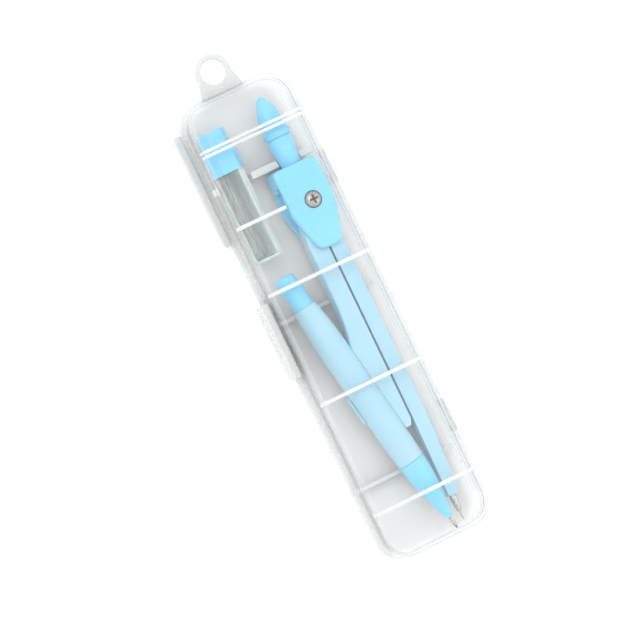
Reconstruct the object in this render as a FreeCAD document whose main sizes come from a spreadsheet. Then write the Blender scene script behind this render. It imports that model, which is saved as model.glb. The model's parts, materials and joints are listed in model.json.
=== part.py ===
"""Drafting compass set in a clear hanging case: compass with clip-on mechanical pencil, and spare leads.

Frame: +Z up, +Y towards the hanging ring, origin in the middle of the case's underside. Millimetres.
"""

import FreeCAD, Part
import math
import os
import re
import Sketcher

doc = FreeCAD.newDocument("drafting_compass_set")

# ---------------------------------------------------------------- driving dimensions
SIZES = {
    # case
    "case_length": 163.0,
    "case_width": 39.0,
    "case_depth": 18.0,
    "case_wall": 1.2,
    "case_corner": 9.0,
    "case_edge": 1.8,
    "base_height": 10.0,
    "lid_gap": 0.15,
    "rim_depth": 1.4,
    "rim_wall": 0.5,
    "rim_gap": 0.15,
    "ring_hole": 4.3,
    "ring_outer": 6.1,
    "ring_reach": 7.5,
    "ring_root": 15.3,
    "ring_thick": 1.6,
    "ring_rise": 1.9,
    "ledge_reach": 2.3,
    "ledge_low": 35.3,
    "ledge_high": 74.7,
    "ledge_rise": 1.0,
    "ledge_thick": 1.6,
    "cradle_place": 52.7,
    "cradle_wall": 2.4,
    "neck_notch": 4.0,
    "support_rise": 4.2,
    "rib_wall": 1.2,
    "rib_drop": 2.2,
    "rib_side": 0.6,
    # lid hinge and latch
    "knuckle_radius": 1.3,
    "knuckle_length": 6.0,
    "ear_length": 2.5,
    "hinge_pin": 0.6,
    "hinge_offset": 1.5,
    "hinge_place": 45.0,
    "pin_gap": 0.05,
    "side_gap": 0.2,
    "latch_length": 26.0,
    "latch_wall": 1.2,
    "latch_low": 4.4,
    "latch_pivot_rise": 12.6,
    "latch_offset": 1.35,
    "latch_barrel": 1.15,
    "catch_reach": 0.55,
    "catch_rise": 7.2,
    "catch_height": 1.0,
    # compass head
    "pivot_across": 8.95,
    "pivot_along": 37.2,
    "mid_rise": 8.2,
    "head_half": 6.0,
    "head_cavity": 3.55,
    "head_shift": 0.8,
    "head_wide": 8.0,
    "head_top": 13.2,
    "head_bridge": 6.4,
    "head_edge": 1.2,
    "screw_shank": 1.5,
    "screw_head": 2.7,
    "screw_seat": 5.5,
    "screw_rise": 1.6,
    "screw_length": 12.0,
    "bore_gap": 0.06,
    "nut_flats": 5.5,
    "nut_height": 1.6,
    "nut_pocket": 1.0,
    "washer_radius": 4.2,
    "washer_wall": 0.26,
    "spigot_radius": 2.0,
    "spigot_flange": 3.0,
    "spigot_low": 8.5,
    "flange_wall": 1.3,
    "neck_top": 23.1,
    "collar_top": 25.6,
    "grip_top": 37.5,
    # legs
    "leg_half": 3.4,
    "needle_inner": 0.7,
    "pencil_inner": 1.5,
    "eye_radius": 6.2,
    "eye_clear": 6.5,
    "eye_gap": 0.15,
    "needle_leg_wide": 4.35,
    "needle_leg_end": 106.4,
    "pencil_leg_wide": 7.6,
    "pencil_leg_end": 80.0,
    "clip_high": 51.0,
    "leg_edge": 0.9,
    "needle_across": 0.8,
    "sleeve_radius": 1.3,
    "sleeve_stem": 1.0,
    "needle_radius": 0.45,
    # clip-on mechanical pencil
    "pencil_rise": 9.3,
    "pencil_tip_across": 6.32,
    "pencil_tip_along": -79.8,
    "pencil_top_across": -10.28,
    "pencil_top_along": 18.7,
    "barrel_radius": 4.95,
    "barrel_bore": 3.6,
    "barrel_low": 26.7,
    "barrel_straight_low": 42.0,
    "barrel_straight_top": 68.0,
    "barrel_top": 87.6,
    "barrel_taper": 0.35,
    "barrel_neck": 4.0,
    "clip_gap": 0.06,
    "clip_wall": 0.9,
    "clip_length": 10.0,
    "clip_foot": 72.5,
    "clip_lip": 2.32,
    "clip_low_lip": -0.4,
    "nose_bore": 2.3,
    "guide_radius": 0.75,
    "lead_radius": 0.35,
    "button_radius": 3.5,
    "button_top": 99.6,
    "reservoir_radius": 1.7,
    "chuck_radius": 1.15,
    "spring_radius": 1.85,
    "spring_wire": 0.2,
    # spare lead tube
    "tube_across": -10.8,
    "tube_rise": 6.4,
    "tube_low": 25.6,
    "tube_high": 60.6,
    "tube_flats": 9.2,
    "tube_wall": 0.9,
    "cap_low": 56.6,
    "collar_high": 64.0,
    "cap_high": 71.4,
    "collar_flats": 10.2,
    "cap_flats": 8.6,
    "cap_gap": 0.06,
    "spare_lead_length": 29.5,
    "spare_lead_pitch": 0.76,
}

sheet = doc.addObject("Spreadsheet::Sheet", "sizes")
for row, (alias, value) in enumerate(SIZES.items(), start=1):
    sheet.set(f"A{row}", alias)
    sheet.set(f"B{row}", str(value))
    sheet.setAlias(f"B{row}", alias)
doc.recompute()

WORD = re.compile(r"\b(?!sqrt\b|abs\b)[a-z][a-z_]+\b")


def linked(formula):
    """The formula as an expression on the sizes sheet."""
    return WORD.sub(lambda word: "sizes." + word.group(), str(formula))


def size(formula):
    """The formula's value in millimetres."""
    return float(sheet.evalExpression(linked(formula)))


def bind(thing, path, formula):
    thing.setExpression(path, linked(formula))


# ---------------------------------------------------------------- ways of making a piece
def new_body(label, placement=None):
    body = doc.addObject("PartDesign::Body", label)
    body.Label = label
    if placement:
        body.Placement = placement
    return body


def new_sketch(body, role, name, lift="0"):
    """A sketch on one of the body's own planes, lifted along that plane's normal."""
    sketch = body.newObject("Sketcher::SketchObject", name)
    plane = next(f for f in body.Origin.OriginFeatures if f.Role == role)
    sketch.AttachmentSupport = (plane, "")
    sketch.MapMode = "FlatFace"
    bind(sketch, "AttachmentOffset.Base.z", lift)
    return sketch


def pin_point(sketch, geometry, end, across, up):
    """Fix one point of the sketch at two sheet-driven distances from its origin."""
    for kind, formula, axis in (("DistanceX", across, -2), ("DistanceY", up, -1)):
        if abs(size(formula)) < 1e-9:
            sketch.addConstraint(Sketcher.Constraint("PointOnObject", geometry, end, axis))
            continue
        row = sketch.addConstraint(
            Sketcher.Constraint(kind, -1, 1, geometry, end, size(formula))
        )
        sketch.setExpression(f"Constraints[{row}]", linked(formula))


def outline(sketch, corners):
    """Draw a closed outline, anticlockwise.

    A corner is (across, up) or (across, up, radius): the radius bends the side that starts there,
    outwards when positive and inwards when negative.
    """
    points = [FreeCAD.Vector(size(c[0]), size(c[1]), 0) for c in corners]
    sides = []
    for n, corner in enumerate(corners):
        start, finish = points[n], points[(n + 1) % len(corners)]
        if len(corner) == 2:
            sides.append((sketch.addGeometry(Part.LineSegment(start, finish)), 1, 2))
            continue
        radius = abs(size(corner[2]))
        outward = size(corner[2]) > 0
        along = (finish - start).normalize()
        inward = FreeCAD.Vector(-along.y, along.x, 0)
        half = start.distanceToPoint(finish) / 2
        depth = math.sqrt(radius**2 - half**2)
        centre = (start + finish) / 2 + inward * (depth if outward else -depth)
        first, last = (start, finish) if outward else (finish, start)
        angles = [math.atan2((p - centre).y, (p - centre).x) for p in (first, last)]
        if angles[1] < angles[0]:
            angles[1] += 2 * math.pi
        circle = Part.Circle(centre, FreeCAD.Vector(0, 0, 1), radius)
        arc = sketch.addGeometry(Part.ArcOfCircle(circle, *angles))
        sides.append((arc, 1, 2) if outward else (arc, 2, 1))
    for n, (geometry, begin, _) in enumerate(sides):
        before, _, end = sides[n - 1]
        sketch.addConstraint(Sketcher.Constraint("Coincident", before, end, geometry, begin))
        pin_point(sketch, geometry, begin, corners[n][0], corners[n][1])
    for (geometry, _, _), corner in zip(sides, corners):
        if len(corner) == 3:
            row = sketch.addConstraint(
                Sketcher.Constraint("Radius", geometry, abs(size(corner[2])))
            )
            sketch.setExpression(f"Constraints[{row}]", linked(f"abs({corner[2]})"))
    return sketch


def disc(sketch, across, up, radius):
    centre = FreeCAD.Vector(size(across), size(up), 0)
    circle = Part.Circle(centre, FreeCAD.Vector(0, 0, 1), size(radius))
    ring = sketch.addGeometry(circle)
    pin_point(sketch, ring, 3, across, up)
    row = sketch.addConstraint(Sketcher.Constraint("Radius", ring, size(radius)))
    sketch.setExpression(f"Constraints[{row}]", linked(radius))
    return sketch


def rounded(sketch, half_wide, half_long, corner):
    """A rectangle with round corners, centred on the sketch's origin."""
    wide, long = f"({half_wide})", f"({half_long})"
    inner_wide, inner_long = f"({wide} - {corner})", f"({long} - {corner})"
    return outline(
        sketch,
        [
            (f"-{inner_wide}", f"-{long}"),
            (inner_wide, f"-{long}", corner),
            (wide, f"-{inner_long}"),
            (wide, inner_long, corner),
            (inner_wide, long),
            (f"-{inner_wide}", long, corner),
            (f"-{wide}", inner_long),
            (f"-{wide}", f"-{inner_long}", corner),
        ],
    )


def pad(body, sketch, length, cut=False):
    """Grow the sketch along its normal, or cut it out of the body the same way."""
    kind = "Pocket" if cut else "Pad"
    feature = body.newObject("PartDesign::" + kind, sketch.Name + "_" + kind.lower())
    feature.Profile = sketch
    bind(feature, "Length", length)
    # a pocket's own direction is against the normal
    feature.Reversed = cut
    return feature


def spin(body, sketch, cut=False):
    """Turn the sketch once round its vertical axis."""
    kind = "Groove" if cut else "Revolution"
    feature = body.newObject("PartDesign::" + kind, sketch.Name + "_" + kind.lower())
    feature.Profile = sketch
    feature.ReferenceAxis = (sketch, ["V_Axis"])
    feature.Angle = 360.0
    return feature


def turned(body, name, profile, cut=False):
    """A lathe piece from (radius, height) corners, round the body's Z axis."""
    return spin(body, outline(new_sketch(body, "XZ_Plane", name), profile), cut)


def block(body, name, low, high, cut=False):
    kind = "SubtractiveBox" if cut else "AdditiveBox"
    feature = body.newObject("PartDesign::" + kind, name)
    for path, start, stop in zip(("Length", "Width", "Height"), low, high):
        bind(feature, path, f"({stop}) - ({start})")
    for axis, start in zip("xyz", low):
        bind(feature, f"Placement.Base.{axis}", start)
    return feature


TURN_TO = {
    "x": FreeCAD.Rotation(FreeCAD.Vector(0, 1, 0), 90),
    "y": FreeCAD.Rotation(FreeCAD.Vector(1, 0, 0), -90),
    "z": FreeCAD.Rotation(),
}


def rod(body, name, start, radius, length, along="z", cut=False):
    """A round bar from its start point towards +x, +y or +z."""
    kind = "SubtractiveCylinder" if cut else "AdditiveCylinder"
    feature = body.newObject("PartDesign::" + kind, name)
    turn = TURN_TO[along] if isinstance(along, str) else along
    feature.Placement = FreeCAD.Placement(FreeCAD.Vector(), turn)
    bind(feature, "Radius", radius)
    bind(feature, "Height", length)
    for axis, place in zip("xyz", start):
        bind(feature, f"Placement.Base.{axis}", place)
    return feature


def soften(body, name, radius, chosen, kind="Fillet"):
    """Round or chamfer the tip's edges for which chosen(edge) is true."""
    doc.recompute()
    base = body.Tip
    edges = [f"Edge{n}" for n, edge in enumerate(base.Shape.Edges, start=1) if chosen(edge)]
    if not edges:
        raise ValueError(f"{body.Label}: no edge to soften for {name}")
    feature = body.newObject("PartDesign::" + kind, name)
    feature.Base = (base, edges)
    bind(feature, "Radius" if kind == "Fillet" else "Size", radius)
    doc.recompute()
    return feature


def box_of(edge):
    return edge.BoundBox


def level(edge, height):
    """Does the whole edge lie at this height?"""
    return abs(box_of(edge).ZMin - height) < 1e-4 and abs(box_of(edge).ZMax - height) < 1e-4


def upright(edge, along):
    """Does the edge stand along Z at this Y?"""
    box = box_of(edge)
    return box.ZLength > 1 and box.YLength < 1e-4 and abs(box.YMin - along) < 1e-3


# ---------------------------------------------------------------- the case
CASE_HALF_WIDE = "case_width / 2"
CASE_HALF_LONG = "case_length / 2"
INNER_HALF_WIDE = "case_width / 2 - case_wall"
INNER_HALF_LONG = "case_length / 2 - case_wall"
INNER_CORNER = "(case_corner - case_wall)"
LID_LOW = "(base_height + lid_gap)"
HINGE_ACROSS = "(case_width / 2 + hinge_offset)"
HINGE_SIDES = {"rear": "hinge_place", "front": "-hinge_place"}


def make_base():
    body = new_body("case_base")
    outer = rounded(
        new_sketch(body, "XY_Plane", "base_plan"), CASE_HALF_WIDE, CASE_HALF_LONG, "case_corner"
    )
    pad(body, outer, "base_height")
    soften(body, "base_underside", "case_edge", lambda e: level(e, 0))
    hollow = rounded(
        new_sketch(body, "XY_Plane", "base_hollow", "case_wall"),
        INNER_HALF_WIDE,
        INNER_HALF_LONG,
        INNER_CORNER,
    )
    pad(body, hollow, "base_height - case_wall + 1", cut=True)

    # a thin rim stands inside the lid's skirt
    rim = new_sketch(body, "XY_Plane", "base_rim", "base_height - 1")
    rounded(rim, INNER_HALF_WIDE, INNER_HALF_LONG, INNER_CORNER)
    rounded(
        rim,
        "case_width / 2 - case_wall - rim_wall",
        "case_length / 2 - case_wall - rim_wall",
        "(case_corner - case_wall - rim_wall)",
    )
    pad(body, rim, "rim_depth + 1")

    make_floor_walls(body)

    block(
        body,
        "side_ledge",
        ("-case_width / 2 - ledge_reach", "ledge_low", "ledge_rise"),
        ("-case_width / 2 + 0.5", "ledge_high", "ledge_rise + ledge_thick"),
    )
    soften(
        body,
        "side_ledge_corners",
        "ledge_reach - 0.3",
        lambda e: abs(box_of(e).XMax + size("case_width / 2 + ledge_reach")) < 1e-4
        and box_of(e).YLength < 1e-4
        and box_of(e).ZLength > 0.5,
    )
    block(
        body,
        "latch_catch",
        ("-case_width / 2 - catch_reach", "-latch_length / 2 + 2", "catch_rise"),
        ("-case_width / 2 + 0.5", "latch_length / 2 - 2", "catch_rise + catch_height"),
    )
    for side, place in HINGE_SIDES.items():
        for end, start in (
            ("low", f"{place} - knuckle_length / 2 - side_gap - ear_length"),
            ("high", f"{place} + knuckle_length / 2 + side_gap"),
        ):
            name = f"ear_{side}_{end}"
            rod(
                body,
                name,
                (HINGE_ACROSS, start, "base_height"),
                "knuckle_radius",
                "ear_length",
                "y",
            )
            block(
                body,
                name + "_web",
                ("case_width / 2 - 0.3", start, "base_height - 3.2"),
                (HINGE_ACROSS, f"{start} + ear_length", "base_height - 0.2"),
            )
        rod(
            body,
            f"ear_bore_{side}",
            (HINGE_ACROSS, f"{place} - 8", "base_height"),
            "hinge_pin + pin_gap",
            "16",
            "y",
            cut=True,
        )
    return body


def make_hanging_tab():
    """A flat tongue with a round eye, just above the underside of the base."""
    body = new_body("hanging_tab")
    lift = "ring_rise"
    end = CASE_HALF_LONG
    neck = "ring_outer * 0.96"
    tongue = outline(
        new_sketch(body, "XY_Plane", "tab_tongue", lift),
        [
            ("-ring_root / 2", end),
            ("ring_root / 2", end),
            (neck, f"{end} + ring_reach - 1.2"),
            (f"-{neck}", f"{end} + ring_reach - 1.2"),
        ],
    )
    pad(body, tongue, "ring_thick")
    centre = ("0", f"{end} + ring_reach", lift)
    rod(body, "tab_disc", centre, "ring_outer", "ring_thick")
    below = ("0", f"{end} + ring_reach", f"{lift} - 1")
    rod(body, "tab_eye", below, "ring_hole", "ring_thick + 2", cut=True)
    return body


def make_floor_walls(body):
    """Low walls on the floor: a cradle for neck and tube, and two rests under the legs."""
    inner = INNER_HALF_WIDE
    block(
        body,
        "cradle",
        (f"-({inner}) - 0.3", "cradle_place - cradle_wall / 2", "case_wall - 0.3"),
        (f"{inner} + 0.3", "cradle_place + cradle_wall / 2", "mid_rise"),
    )
    block(
        body,
        "cradle_tube_notch",
        (
            "tube_across - collar_flats * 0.6",
            "cradle_place - 2",
            "tube_rise - collar_flats / 2 - 0.2",
        ),
        ("tube_across + collar_flats * 0.6", "cradle_place + 2", "mid_rise + 1"),
        cut=True,
    )
    rod(
        body,
        "cradle_neck_notch",
        ("pivot_across", "cradle_place - 2", "mid_rise"),
        "neck_notch",
        "4",
        "y",
        cut=True,
    )
    for name, place in (("upper", "5"), ("lower", "-55")):
        block(
            body,
            f"leg_rest_{name}",
            (f"-({inner}) - 0.3", f"{place} - rib_wall / 2", "case_wall - 0.3"),
            (f"{inner} + 0.3", f"{place} + rib_wall / 2", "support_rise"),
        )


LID_RIBS = {
    "ring_end": ("64.9", "rib_wall * 2.2", INNER_HALF_WIDE),
    "head": ("38.6", "rib_wall", "0.1 - rib_wall"),
    "upper": ("14.7", "rib_wall", INNER_HALF_WIDE),
    "middle": ("-24.3", "rib_wall", INNER_HALF_WIDE),
    "tip_end": ("-64.1", "rib_wall", INNER_HALF_WIDE),
}


def make_lid():
    body = new_body("case_lid")
    outer = rounded(
        new_sketch(body, "XY_Plane", "lid_plan", LID_LOW),
        CASE_HALF_WIDE,
        CASE_HALF_LONG,
        "case_corner",
    )
    pad(body, outer, f"case_depth - {LID_LOW}")
    soften(body, "lid_top_edge", "case_edge + 0.4", lambda e: level(e, size("case_depth")))
    hollow = rounded(
        new_sketch(body, "XY_Plane", "lid_hollow", f"{LID_LOW} - 1"),
        f"{INNER_HALF_WIDE} + rim_gap",
        f"{INNER_HALF_LONG} + rim_gap",
        f"({INNER_CORNER} + rim_gap)",
    )
    pad(body, hollow, f"case_depth - case_wall - {LID_LOW} + 1", cut=True)

    for name, (place, wall, reach) in LID_RIBS.items():
        low = f"{place} - ({wall}) / 2"
        high = f"{place} + ({wall}) / 2"
        edge = f"{INNER_HALF_WIDE} + 0.4"
        stop = edge if reach == INNER_HALF_WIDE else reach
        block(
            body,
            f"rib_{name}",
            (f"-({edge})", low, "case_depth - case_wall - rib_drop"),
            (stop, high, "case_depth - case_wall + 0.3"),
        )
        sides = {"left": -1, "right": 1} if reach == INNER_HALF_WIDE else {"left": -1}
        for side, sign in sides.items():
            near, far = f"{sign} * ({INNER_HALF_WIDE} - rib_side)", f"{sign} * ({edge})"
            first, last = (near, far) if sign > 0 else (far, near)
            block(
                body,
                f"rib_{name}_{side}",
                (first, low, f"{LID_LOW} + rim_depth + 0.4"),
                (last, high, "case_depth - case_wall"),
            )

    for side, place in HINGE_SIDES.items():
        start = f"{place} - knuckle_length / 2"
        rod(
            body,
            f"knuckle_{side}",
            (HINGE_ACROSS, start, "base_height"),
            "knuckle_radius",
            "knuckle_length",
            "y",
        )
        block(
            body,
            f"knuckle_web_{side}",
            ("case_width / 2 - 0.3", start, f"{LID_LOW} + 0.1"),
            (HINGE_ACROSS, f"{place} + knuckle_length / 2", "base_height + 3.2"),
        )
        rod(
            body,
            f"hinge_pin_{side}",
            (HINGE_ACROSS, f"{start} - ear_length", "base_height"),
            "hinge_pin",
            "knuckle_length + 2 * ear_length",
            "y",
        )
    make_latch_ears(body)
    return body


LATCH_ACROSS = "(-case_width / 2 - latch_offset)"


def make_latch_ears(body):
    """Two lugs on the lid's left wall, and the pin that the latch swings on."""
    for end, start in (
        ("low", "-latch_length / 2 - side_gap - 1.6"),
        ("high", "latch_length / 2 + side_gap"),
    ):
        block(
            body,
            f"latch_ear_{end}",
            (LATCH_ACROSS, start, "latch_pivot_rise - latch_barrel"),
            ("-case_width / 2 + 0.5", f"{start} + 1.6", "latch_pivot_rise + latch_barrel"),
        )
        rod(
            body,
            f"latch_ear_round_{end}",
            (LATCH_ACROSS, start, "latch_pivot_rise"),
            "latch_barrel",
            "1.6",
            "y",
        )
    rod(
        body,
        "latch_pin",
        (LATCH_ACROSS, "-latch_length / 2 - 1", "latch_pivot_rise"),
        "hinge_pin",
        "latch_length + 2",
        "y",
    )


def make_latch():
    """A flap that hangs from the lid's pin and hooks under the catch on the base."""
    body = new_body("latch_flap")
    half = "latch_length / 2"
    rod(
        body,
        "latch_barrel_bar",
        (LATCH_ACROSS, f"-({half})", "latch_pivot_rise"),
        "latch_barrel",
        "latch_length",
        "y",
    )
    block(
        body,
        "latch_plate",
        (f"{LATCH_ACROSS} - latch_barrel", f"-({half})", "latch_low"),
        (f"{LATCH_ACROSS} - latch_barrel + latch_wall", half, "latch_pivot_rise"),
    )
    block(
        body,
        "latch_hook",
        (
            f"{LATCH_ACROSS} - latch_barrel + latch_wall - 0.3",
            f"-({half}) + 3",
            "catch_rise - 1.3",
        ),
        ("-case_width / 2 - 0.2", f"{half} - 3", "catch_rise - 0.2"),
    )
    soften(
        body,
        "latch_lower_corners",
        "2.2",
        lambda e: box_of(e).YLength < 1e-4
        and box_of(e).ZLength < 1e-4
        and abs(box_of(e).ZMin - size("latch_low")) < 1e-4,
    )
    rod(
        body,
        "latch_bore",
        (LATCH_ACROSS, f"-({half}) - 1", "latch_pivot_rise"),
        "hinge_pin + pin_gap",
        "latch_length + 2",
        "y",
        cut=True,
    )
    return body


# ---------------------------------------------------------------- the compass head
def at_pivot():
    """The compass's own frame: origin on the pivot axis, half way through the head."""
    return FreeCAD.Placement(
        FreeCAD.Vector(size("pivot_across"), size("pivot_along"), size("mid_rise")),
        FreeCAD.Rotation(),
    )


# half of the shield-shaped outline, from the tip up: out from the head's middle, along, corner radius
HEAD_CORNERS = [
    ("4.2", "-16.2", "3.6"),
    ("head_wide", "-2.8", "9.0"),
    ("head_wide", "head_top", "1.7"),
]


def make_head_cover(label, front):
    """Half of the head: a shield-shaped cheek, and half of the block that holds the neck."""
    body = new_body(label, at_pivot())
    low = "0" if front else "-head_half"
    right = [(f"{out} - head_shift", along) for out, along, _ in HEAD_CORNERS]
    left = [(f"-({out}) - head_shift", along) for out, along, _ in reversed(HEAD_CORNERS)]
    plan = outline(new_sketch(body, "XY_Plane", label + "_plan", low), right + left)
    pad(body, plan, "head_half")
    for n, (_, along, radius) in enumerate(HEAD_CORNERS):
        place = size(along)
        soften(body, f"{label}_corner_{n}", radius, lambda e: upright(e, place))
    face = size("head_half") if front else -size("head_half")
    soften(body, label + "_edge", "head_edge", lambda e: level(e, face))
    inner = ("0", "head_cavity") if front else ("-head_cavity", "0")
    block(
        body,
        label + "_cavity",
        ("-12", "-20", f"{inner[0]} - {0.01 if front else 0}"),
        ("12", "head_bridge", f"{inner[1]} + {0 if front else 0.01}"),
        cut=True,
    )
    rod(
        body,
        label + "_spigot_bore",
        ("0", "spigot_low - 0.1", "0"),
        "spigot_radius + 0.02",
        "head_top",
        "y",
        cut=True,
    )
    rod(
        body,
        label + "_flange_groove",
        ("0", "spigot_low - 0.1", "0"),
        "spigot_flange + 0.05",
        "flange_wall + 0.2",
        "y",
        cut=True,
    )
    rod(
        body,
        label + "_screw_bore",
        ("0", "0", "-head_half - 1"),
        "screw_shank + bore_gap",
        "2 * head_half + 2",
        cut=True,
    )
    if front:
        rod(body, "screw_recess", ("0", "0", "screw_seat"), "screw_head + 0.15", "3", cut=True)
        cheek = "-head_wide - head_shift"
        block(
            body,
            "side_notch",
            (f"{cheek} - 1", "5.4", "0.6"),
            (f"{cheek} + 1", "7.8", "head_half - head_edge"),
            cut=True,
        )
    else:
        pocket = hexagon(
            new_sketch(body, "XY_Plane", "nut_recess", "-head_half - 1"), "nut_flats + 0.1"
        )
        pad(body, pocket, "nut_pocket + 1", cut=True)
    return body


def hexagon(sketch, flats, across="0", up="0"):
    """A hexagon with two flats level, by the distance between opposite flats."""
    reach = f"(({flats}) / sqrt(3))"
    steps = ((1, 0), (0.5, 0.5), (-0.5, 0.5), (-1, 0), (-0.5, -0.5), (0.5, -0.5))
    return outline(
        sketch,
        [
            (
                f"{across} + {c} * {reach}",
                f"{up} + {2 * k} * ({flats}) / 2" if k else up,
            )
            for c, k in steps
        ],
    )


def make_neck():
    """The tapered neck, with a flanged spigot that the two covers grip, and a thin peg for the grip."""
    turn = at_pivot().multiply(FreeCAD.Placement(FreeCAD.Vector(), TURN_TO["y"]))
    body = new_body("handle_neck", turn)
    turned(
        body,
        "neck_profile",
        [
            ("0", "spigot_low"),
            ("spigot_flange", "spigot_low"),
            ("spigot_flange", "spigot_low + flange_wall"),
            ("spigot_radius", "spigot_low + flange_wall"),
            ("spigot_radius", "head_top + 0.05"),
            ("3.35", "head_top + 0.05"),
            ("4.3", "neck_top - 0.9"),
            ("4.05", "neck_top"),
            ("1.6", "neck_top"),
            ("1.6", "neck_top + 7"),
            ("0", "neck_top + 7"),
        ],
    )
    return body


def make_grip():
    """The pointed finger grip that pushes onto the neck's peg."""
    turn = at_pivot().multiply(FreeCAD.Placement(FreeCAD.Vector(), TURN_TO["y"]))
    body = new_body("handle_grip", turn)
    turned(
        body,
        "grip_profile",
        [
            ("0", "neck_top + 7.1"),
            ("1.62", "neck_top + 7.1"),
            ("1.62", "neck_top + 0.05"),
            ("4.5", "neck_top + 0.05"),
            ("4.7", "neck_top + 0.6"),
            ("4.7", "collar_top - 0.5"),
            ("3.95", "collar_top + 0.5", "30"),
            ("3.9", "collar_top + 4.2", "16"),
            ("1.5", "grip_top - 0.8", "1.5"),
            ("0.4", "grip_top"),
            ("0", "grip_top"),
        ],
    )
    return body


def make_screw():
    body = new_body("pivot_screw", at_pivot())
    turned(
        body,
        "screw_profile",
        [
            ("0", "screw_seat - screw_length"),
            ("screw_shank - 0.3", "screw_seat - screw_length"),
            ("screw_shank", "screw_seat - screw_length + 0.4"),
            ("screw_shank", "screw_seat"),
            ("screw_head", "screw_seat"),
            ("screw_head", "screw_seat + 0.55", "2.6"),
            ("screw_head * 0.55", "screw_seat + screw_rise", "9"),
            ("0", "screw_seat + screw_rise + 0.1"),
        ],
    )
    for name, long, wide in (("cross_one", "1.5", "0.36"), ("cross_two", "0.36", "1.5")):
        block(
            body,
            name,
            (f"-{long}", f"-{wide}", "screw_seat + 0.55"),
            (long, wide, "screw_seat + 3"),
            cut=True,
        )
    return body


def make_nut():
    body = new_body("pivot_nut", at_pivot())
    low = "-head_half + nut_pocket - nut_height - 0.02"
    pad(body, hexagon(new_sketch(body, "XY_Plane", "nut_plan", low), "nut_flats"), "nut_height")
    soften(body, "nut_edge", "0.25", lambda e: level(e, size(low)), "Chamfer")
    rod(body, "nut_bore", ("0", "0", f"{low} - 1"), "screw_shank + 0.02", "4", cut=True)
    return body


def make_washer():
    body = new_body("friction_washer", at_pivot())
    rod(body, "washer_disc", ("0", "0", "-washer_wall / 2"), "washer_radius", "washer_wall")
    rod(body, "washer_bore", ("0", "0", "-1"), "screw_shank + bore_gap", "2", cut=True)
    return body


# ---------------------------------------------------------------- the legs
def make_needle_leg():
    """The right leg. Its eye takes the front half of the head's thickness."""
    body = new_body("needle_leg", at_pivot())
    wide, end = "needle_leg_wide", "needle_leg_end"
    plan = outline(
        new_sketch(body, "XY_Plane", "needle_leg_plan", "-leg_half"),
        [
            ("-needle_inner", f"-{end}"),
            (f"{wide} * 0.52", f"-{end}", "9"),
            (f"{wide} * 0.86", f"-{end} + 6"),
            (wide, f"-{end} + 24"),
            (wide, "0"),
            ("-needle_inner", "0"),
        ],
    )
    pad(body, plan, "2 * leg_half")
    for name, rise, slope in (("front", "leg_half", "-1"), ("rear", "-leg_half", "1")):
        # towards the tip the leg gets thinner
        corners = [
            (f"-{end} - 1", f"{rise} + ({slope}) * 1.9"),
            (f"-{end} + 30", rise),
            (f"-{end} - 1", f"{rise} - ({slope}) * 1"),
        ]
        if name == "rear":
            corners.reverse()
        taper = outline(new_sketch(body, "YZ_Plane", f"needle_leg_taper_{name}", "-2"), corners)
        pad(body, taper, "needle_leg_wide + 4", cut=True)
    soften(
        body,
        "needle_leg_edges",
        "leg_edge",
        lambda e: box_of(e).YLength > 10
        and box_of(e).XMin > size("needle_leg_wide") * 0.9
        and box_of(e).YMin < -1,
    )
    rod(body, "needle_leg_eye", ("0", "0", "-leg_half"), "eye_radius", "2 * leg_half")
    below = ("0", "0", "-leg_half - 1")
    rod(body, "needle_leg_lap", below, "eye_clear", "leg_half + 1 + eye_gap", cut=True)
    rod(body, "needle_leg_bore", below, "screw_shank + bore_gap", "2 * leg_half + 2", cut=True)
    rod(
        body,
        "needle_socket",
        ("needle_across", f"-{end} - 1", "0"),
        "sleeve_stem + 0.02",
        "10",
        "y",
        cut=True,
    )
    return body


def pencil_frame():
    """The pencil's own frame: origin at the writing tip, +Z up the pencil."""
    tip = FreeCAD.Vector(size("pencil_tip_across"), size("pencil_tip_along"), size("pencil_rise"))
    top = FreeCAD.Vector(size("pencil_top_across"), size("pencil_top_along"), size("pencil_rise"))
    turn = FreeCAD.Rotation(FreeCAD.Vector(0, 0, 1), top - tip)
    return FreeCAD.Placement(tip, turn)


PENCIL_RUN = "(pencil_top_across - pencil_tip_across)"
PENCIL_CLIMB = "(pencil_top_along - pencil_tip_along)"


def beside_pencil(along, offset):
    """The distance across, in the pivot's frame, of a line offset from the pencil's axis."""
    slope = f"{PENCIL_RUN} / {PENCIL_CLIMB}"
    tip_across = "pencil_tip_across - pivot_across"
    tip_along = "(pencil_tip_along - pivot_along)"
    return f"{tip_across} + {slope} * (({along}) - {tip_along}) + {offset}"


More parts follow.
